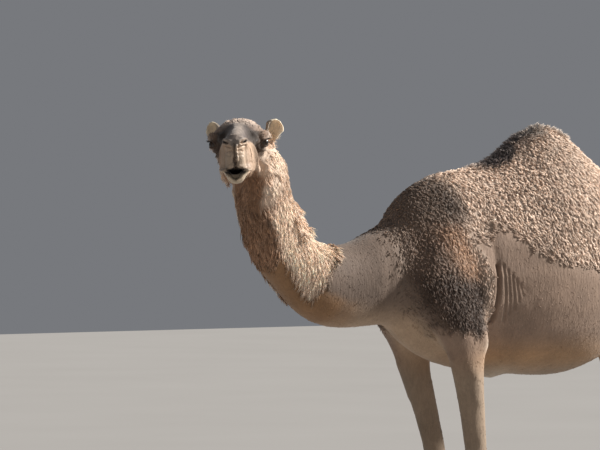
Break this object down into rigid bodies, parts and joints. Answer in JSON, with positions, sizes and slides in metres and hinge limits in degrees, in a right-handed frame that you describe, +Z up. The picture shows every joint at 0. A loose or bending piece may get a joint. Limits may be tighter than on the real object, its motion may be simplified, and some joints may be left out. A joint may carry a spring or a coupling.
{
  "type": "camel",
  "caption": "Life-size standing one-humped camel with its head turned to the left, still, on four flat two-toed feet.",
  "frame": {"origin": "on the floor under the middle of the bounding box", "axes": "+X from the head towards the tail, +Y to the camel's right, +Z up"},
  "size_m": [3.022, 0.7712, 2.1362],
  "materials": {
    "short_coat": "short flat sandy grey-brown hair",
    "woolly_coat": "curly sandy brown wool, dark on the shoulder",
    "face_coat": "very short pale sandy hair",
    "brush_hair": "long dark hair",
    "eye": "wet dark brown eye",
    "nail": "dark horn"
  },
  "bodies": {
    "root": {"head": "face_coat", "ear_left": "face_coat", "ear_right": "face_coat", "eye_left": "eye", "eye_right": "eye", "neck_upper": "short_coat", "neck_middle": "short_coat", "neck_lower": "short_coat", "trunk": "woolly_coat", "hump": "woolly_coat", "tail": "short_coat", "tail_brush": "brush_hair", "foreleg_left_upper": "short_coat", "foreleg_left_lower": "short_coat", "foreleg_left_foot": "short_coat", "foreleg_left_nail_outer": "nail", "foreleg_left_nail_inner": "nail", "foreleg_right_upper": "short_coat", "foreleg_right_lower": "short_coat", "foreleg_right_foot": "short_coat", "foreleg_right_nail_outer": "nail", "foreleg_right_nail_inner": "nail", "hindleg_left_upper": "short_coat", "hindleg_left_lower": "short_coat", "hindleg_left_foot": "short_coat", "hindleg_left_nail_outer": "nail", "hindleg_left_nail_inner": "nail", "hindleg_right_upper": "short_coat", "hindleg_right_lower": "short_coat", "hindleg_right_foot": "short_coat", "hindleg_right_nail_outer": "nail", "hindleg_right_nail_inner": "nail"}
  },
  "joints": []
}
